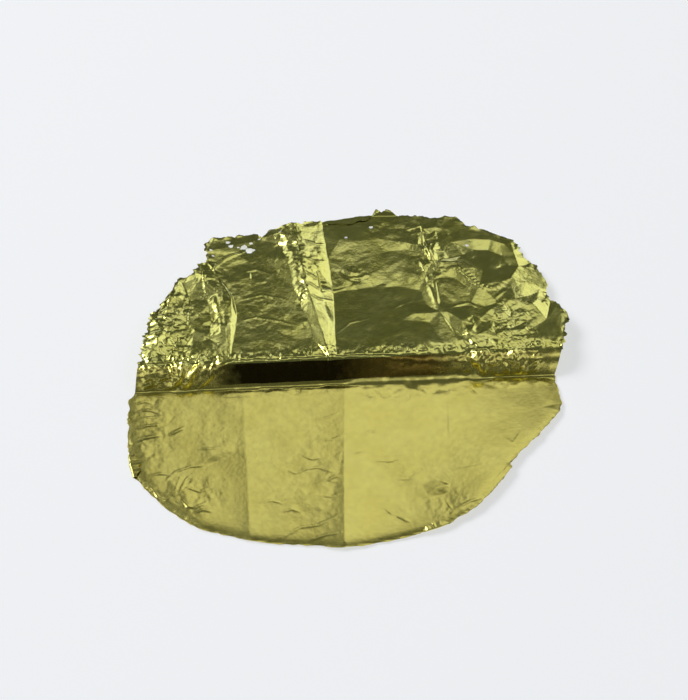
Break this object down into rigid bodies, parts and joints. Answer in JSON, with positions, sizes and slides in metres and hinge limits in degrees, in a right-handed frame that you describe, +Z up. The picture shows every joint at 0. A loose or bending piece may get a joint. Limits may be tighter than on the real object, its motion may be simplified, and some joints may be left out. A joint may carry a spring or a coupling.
{
  "type": "gold leaf sheet",
  "caption": "Round torn sheet of crumpled greenish-gold metal leaf, folded once across its width and laid open, with a raised ridge behind the fold.",
  "frame": {"origin": "on the table, under the middle of the sheet's bounding box", "axes": "+X along the fold to the right, +Y from the flat near leaf to the raised far leaf, +Z up from the table"},
  "size_m": [0.0826, 0.0802, 0.0057],
  "materials": {
    "foil": "mirror-bright greenish-gold foil with crumples and fine wrinkles"
  },
  "bodies": {
    "near_leaf": {"near_left_outer_panel": "foil", "near_left_inner_panel": "foil", "near_right_inner_panel": "foil", "near_right_outer_panel": "foil", "near_left_curled_edge": "foil", "near_front_turned_hem": "foil"},
    "spine_riser": {"riser_left_outer_panel": "foil", "riser_left_inner_panel": "foil", "riser_right_inner_panel": "foil", "riser_right_outer_panel": "foil"},
    "far_leaf": {"far_left_end_panel": "foil", "far_left_panel": "foil", "far_centre_gore": "foil", "far_right_front_panel": "foil", "far_right_lens_panel": "foil", "far_right_wavy_panel": "foil", "far_right_bowl_panel": "foil", "far_right_end_panel": "foil", "far_back_folded_hem": "foil", "far_back_torn_tab": "foil"},
    "turned_flap": {"back_left_turned_flap": "foil"}
  },
  "joints": [
    {"name": "spine_crease", "type": "hinge", "parent": "near_leaf", "child": "spine_riser", "pos_m": [0, -0.00313, 0.0004], "axis": [1, 0, 0], "range_deg": [-58, 108]},
    {"name": "ridge_crease", "type": "hinge", "parent": "spine_riser", "child": "far_leaf", "pos_m": [0, -0.00007, 0.0051], "axis": [1, 0, 0], "range_deg": [-15, 65]},
    {"name": "flap_crease", "type": "hinge", "parent": "far_leaf", "child": "turned_flap", "pos_m": [-0.02583, 0.03035, 0.00215], "axis": [0.9577, 0.281, -0.063], "range_deg": [-25, 120]}
  ]
}
